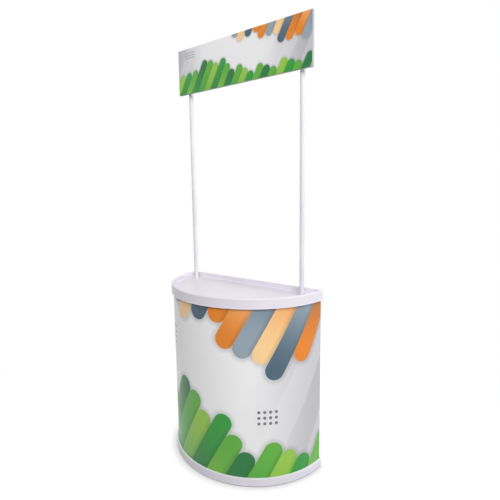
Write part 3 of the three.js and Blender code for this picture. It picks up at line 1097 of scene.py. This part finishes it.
def makePoles():
    for side in ("left", "right"):
        end = side.capitalize()
        makeTube("lowerPole" + end, "lower_pole_" + side, "lower_" + side)
        makeTube("upperPole" + end, "upper_pole_" + side, "upper_" + side)
        makePlug("poleFoot" + end, "pole_foot_" + side, "lower_" + side, 1)
        makePlug("poleCap" + end, "pole_cap_" + side, "upper_" + side, -1)
        makeJoiner("poleJoiner" + end, "pole_joiner_" + side, "lower_" + side)
        makeSocket("poleSocket" + end, "pole_socket_" + side)


makePoles()
print("poles and sockets made")


# Clips behind the header board

clip = {"wall": 0.0025, "flange": 0.003, "lid": 0.003, "edge": 0.0006, "overrun": 0.01, "steps": 40}


def halfRoundSlab(radius, corners, low, high):
    # a half round with the same corners on both sides of it, pulled up into a slab
    bm = bmesh.new()
    first = bm.verts.new((radius, 0, low))
    spun = bmesh.ops.spin(
        bm, geom=[first], cent=(0, 0, low), axis=(0, 0, 1), angle=math.pi, steps=clip["steps"],
        use_duplicate=False)
    last = vertsIn(spun["geom_last"])[0]
    left = [bm.verts.new((-x, y, low)) for x, y in corners]
    right = [bm.verts.new((x, y, low)) for x, y in corners]
    loop = [last, *left, *reversed(right), first]
    for pair in zip(loop, loop[1:]):
        bm.edges.new(pair)
    bmesh.ops.contextual_create(bm, geom=bm.edges[:])
    grown = bmesh.ops.extrude_face_region(bm, geom=bm.faces[:], use_keep_orig=True)["geom"]
    bmesh.ops.translate(bm, vec=(0, 0, high - low), verts=vertsIn(grown))
    bmesh.ops.recalc_face_normals(bm, faces=bm.faces)
    return bm


def makeClip(name, node):
    # a hat-shaped sleeve, closed on top, with a flange on each side
    low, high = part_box(node)
    bore = pole["bore"]
    outer = bore + clip["wall"]
    half = (high.x - low.x) / 2
    flangeBack = clip["flange"] - bore
    sleeve = halfRoundSlab(outer, [(outer, flangeBack), (half, flangeBack), (half, -bore)], low.z, high.z)
    hollow = halfRoundSlab(bore, [(bore, -2 * bore)], low.z - clip["overrun"], high.z - clip["lid"])
    whole = bevelSharp(combine("DIFFERENCE", sleeve, hollow), clip["edge"])
    addPiece(name, placed(whole, (middle(node).x, low.y + bore, 0)), "tray_plastic", "header_unit", [node])


makeClip("headerClipLeft", "header_clip_left")
makeClip("headerClipRight", "header_clip_right")
print("clips made")


# Screws, rivets, feet, brackets and edge strips

# rootShare, crestShare: where each turn of the thread is thin and thick; turnStep: from one screw's cross
# to the next one's, in radians
screw = {
    "shank": 0.0018,
    "root": 0.0014,
    "head": 0.0036,
    "headHeight": 0.0024,
    "headEdge": 0.0013,
    "seatEdge": 0.0002,
    "length": 0.011,
    "pitch": 0.0009,
    "rootShare": 0.45,
    "crestShare": 0.9,
    "plain": 0.0012,
    "tip": 0.002,
    "crossWidth": 0.0009,
    "crossReach": 0.0021,
    "crossDepth": 0.0015,
    "crossTaper": 0.45,
    "overrun": 0.001,
    "turnStep": 0.7,
    "steps": 24,
    "arcSteps": 5,
}


def screwShell():
    # a pan-head screw with a cross in its head, which points along +Z; the head's underside is at zero
    headTop = -screw["headHeight"]
    line = roundedLine([
        (0, headTop, 0), (screw["head"], headTop, screw["headEdge"]), (screw["head"], 0, screw["seatEdge"]),
        (screw["shank"], 0, screw["seatEdge"]), (screw["shank"], screw["plain"], 0),
    ], screw["arcSteps"])
    turns = int((screw["length"] - screw["tip"] - screw["plain"]) / screw["pitch"])
    for i in range(turns):
        start = screw["plain"] + i * screw["pitch"]
        line += [
            (screw["root"], start + screw["pitch"] * screw["rootShare"]),
            (screw["shank"], start + screw["pitch"] * screw["crestShare"]),
        ]
    line += [(screw["root"], screw["length"] - screw["tip"]), (0, screw["length"])]
    half = screw["crossWidth"] / 2
    reach = screw["crossReach"]
    arms = [
        box((-x, -y, headTop - screw["overrun"]), (x, y, headTop + screw["crossDepth"]))
        for x, y in ((reach, half), (half, reach))
    ]
    for arm in arms:
        deep = [v for v in arm.verts if v.co.z > headTop]
        bmesh.ops.scale(arm, vec=(screw["crossTaper"], screw["crossTaper"], 1), verts=deep)
    return combine("DIFFERENCE", turnedShell(line, screw["steps"]), combine("UNION", *arms))


def makeScrews():
    # the header's screws point at its board, the sockets' ones up at the bosses
    template = screwShell()
    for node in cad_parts:
        if "screw" not in node:
            continue
        kind, number = node.split("_screw_")
        low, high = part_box(node)
        centre = middle(node)
        turn = Matrix.Rotation(screw["turnStep"] * int(number), 4, "Z")
        place = (centre.x, centre.y, low.z + screw["headHeight"])
        if kind == "header":
            turn = Matrix.Rotation(math.pi / 2, 4, "X") @ turn
            place = (centre.x, high.y - screw["headHeight"], centre.z)
        body = "header_unit" if kind == "header" else "top_unit"
        addPiece(kind + "Screw" + number, placed(template.copy(), place, turn), "screw_steel", body, [node])
    template.free()


rivet = {
    "shank": 0.0022,
    "head": 0.0045,
    "headHeight": 0.0016,
    "headEdge": 0.0012,
    "seatEdge": 0.0002,
    "flare": 0.004,
    "flareDepth": 0.0016,
    "flareEdge": 0.0001,
    "steps": 28,
    "arcSteps": 4,
}


def extent(node, direction):
    # how far along a direction a node's nearest and farthest points lie
    along = [direction.dot(vertex.co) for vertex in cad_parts[node].data.vertices]
    return min(along), max(along)


def makeRivets():
    # domed heads inside the brackets, flush flares under the print
    radiusX, radiusY = frontRadii(0)
    seat = rivet["headHeight"]
    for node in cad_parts:
        if not node.startswith("bracket_rivet"):
            continue
        centre = middle(node)
        outward = Vector((centre.x / radiusX ** 2, (centre.y - frontCentre.y) / radiusY ** 2, 0))
        outward.normalize()
        across = outward.cross(Vector((0, 0, 1)))
        start, end = extent(node, outward)
        length = end - start
        line = roundedLine([
            (0, 0, 0), (rivet["head"], 0, rivet["headEdge"]), (rivet["head"], seat, rivet["seatEdge"]),
            (rivet["shank"], seat, 0), (rivet["shank"], length - rivet["flareDepth"], 0),
            (rivet["flare"], length, rivet["flareEdge"]), (0, length, 0),
        ], rivet["arcSteps"])
        place = outward * start + across * sum(extent(node, across)) / 2 + Vector((0, 0, centre.z))
        turn = outward.to_track_quat("Z", "X").to_matrix().to_4x4()
        shell = placed(turnedShell(line, rivet["steps"]), place, turn)
        addPiece("bracketRivet" + node[-1], shell, "fitting_plastic", "panel_unit", [node])


foot = {
    "edge": 0.001,
    "topEdge": 0.0004,
    "grooves": (0.0040, 0.0085),
    "grooveWidth": 0.0016,
    "grooveDepth": 0.0006,
    "grooveEdge": 0.0002,
    "steps": 40,
}


def makeFeet():
    # flat pucks with two ring grooves in the sole
    edge = foot["grooveEdge"]
    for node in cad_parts:
        if not node.startswith("foot_"):
            continue
        low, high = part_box(node)
        radius = (high.x - low.x) / 2
        top = low.z + foot["grooveDepth"]
        points = [(0, low.z, 0)]
        for start in foot["grooves"]:
            end = start + foot["grooveWidth"]
            points += [(start, low.z, edge), (start, top, edge), (end, top, edge), (end, low.z, edge)]
        points += [(radius, low.z, foot["edge"]), (radius, high.z, foot["topEdge"]), (0, high.z, 0)]
        shell = turnedShell(roundedLine(points), foot["steps"])
        addPiece("foot" + node[-1], stoodAt(shell, node), "foot_rubber", "base_unit", [node])


edgeStrip = {"edge": 0.0006}


def makeEdgeStrip(name, node):
    addPiece(name, softCopy(node, edgeStrip["edge"]), "fitting_plastic", "panel_unit", [node])


bracket = {"edge": 0.0007}


def makeBrackets():
    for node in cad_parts:
        if node.startswith("shelf_bracket"):
            shell = softCopy(node, bracket["edge"])
            addPiece("shelfBracket" + node[-1], shell, "tray_plastic", "panel_unit", [node])


makeScrews()
makeRivets()
makeFeet()
makeEdgeStrip("edgeStripLeft", "edge_strip_left")
makeEdgeStrip("edgeStripRight", "edge_strip_right")
makeBrackets()
print("small fittings made")


# Floor, world and lamps

# under: the floor's share of the lamps' light and shadows that the camera sees, over a glow that ambient
# occlusion dims near the base, which paints a contact shadow there; the painted shadow's reach: how far
# that dark ring round the base reaches
stage = {
    "size": 16.0,
    "colour": linear(190, 190, 190),
    "under": (0.3, 0.3, 0.3, 1),
    "glow": 0.82,
    "paintedShadeReach": 0.06,
    "fadeFrom": 0.9,
    "fadeTo": 2.0,
}


def seenRays(paint):
    # 1 for what the camera sees, straight, through something or in a reflection
    path = paint.node("ShaderNodeLightPath", output="Is Camera Ray")
    rays = path + path.output("Is Glossy Ray") + path.output("Is Transmission Ray")
    return rays.operate("MINIMUM", 1.0)


def makeFloor():
    bm = bmesh.new()
    bmesh.ops.create_grid(bm, x_segments=1, y_segments=1, size=stage["size"] / 2)
    mesh = bpy.data.meshes.new("floor")
    bm.to_mesh(mesh)
    bm.free()
    floor = bpy.data.objects.new("floor", mesh)
    scene.collection.objects.link(floor)
    paint = newPaint("floor")
    plain = paint.node("ShaderNodeBsdfDiffuse", {}, {"Color": stage["colour"]})
    under = paint.node("ShaderNodeBsdfDiffuse", {}, {"Color": stage["under"]})
    # painted contact shadow: ambient occlusion dims the floor's glow close to the base
    paintedShadeAO = paint.node("ShaderNodeAmbientOcclusion", {}, {"Distance": stage["paintedShadeReach"]}, "AO")
    glow = paint.node("ShaderNodeEmission", {}, {"Strength": paintedShadeAO * stage["glow"]})
    white = paint.node("ShaderNodeEmission", {}, {"Strength": 1.0})
    near = paint.node("ShaderNodeAddShader", {}, {0: under, 1: glow})
    far = paint.length(paint.coords()).ease(stage["fadeFrom"], stage["fadeTo"])
    seen = paint.node("ShaderNodeMixShader", {}, {0: far, 1: near, 2: white})
    whole = paint.node("ShaderNodeMixShader", {}, {0: seenRays(paint), 1: plain, 2: seen})
    paint.plug(paint.tree.nodes["Material Output"].inputs["Surface"], whole)
    mesh.materials.append(paint.owner)


world = {"level": 0.17, "colour": linear(250, 251, 255)}


def makeWorld():
    # a dim even light on the counter and plain white behind it
    scene.world = bpy.data.worlds.new("studio")
    paint = Paint(scene.world)
    soft = paint.node("ShaderNodeBackground", {}, {"Color": world["colour"], "Strength": world["level"]})
    white = paint.node("ShaderNodeBackground", {}, {"Color": (1, 1, 1, 1), "Strength": 1.0})
    whole = paint.node("ShaderNodeMixShader", {}, {0: seenRays(paint), 1: soft, 2: white})
    paint.plug(paint.tree.nodes["World Output"].inputs["Surface"], whole)


# around: degrees from the front, to the right; up: degrees over the middle of the counter;
# a soft lamp leaves no highlight
lampRing = {"centre": Vector((0, 0, 0.9)), "distance": 6.0, "size": 3.6}
lamps = [
    {"name": "key", "around": 45, "up": 45, "power": 318, "soft": True},
    {"name": "side", "around": 100, "up": 15, "power": 86, "soft": False},
    {"name": "fill", "around": -70, "up": 20, "power": 36, "soft": False},
    {"name": "backRight", "around": 155, "up": 8, "power": 150, "soft": True},
    {"name": "backLeft", "around": -130, "up": 8, "power": 150, "soft": True},
]


def makeLamps():
    for lamp in lamps:
        around, up = math.radians(lamp["around"]), math.radians(lamp["up"])
        data = bpy.data.lights.new(lamp["name"], "AREA")
        data.shape = "DISK"
        data.size = lampRing["size"]
        data.energy = lamp["power"]
        light = bpy.data.objects.new(lamp["name"], data)
        light.visible_glossy = not lamp["soft"]
        scene.collection.objects.link(light)
        arm = Vector((math.sin(around) * math.cos(up), -math.cos(around) * math.cos(up), math.sin(up)))
        place = Matrix.Translation(lampRing["centre"] + arm * lampRing["distance"])
        light.matrix_world = place @ arm.to_track_quat("Z", "Y").to_matrix().to_4x4()


makeFloor()
makeWorld()
makeLamps()
print("stage and lights made")
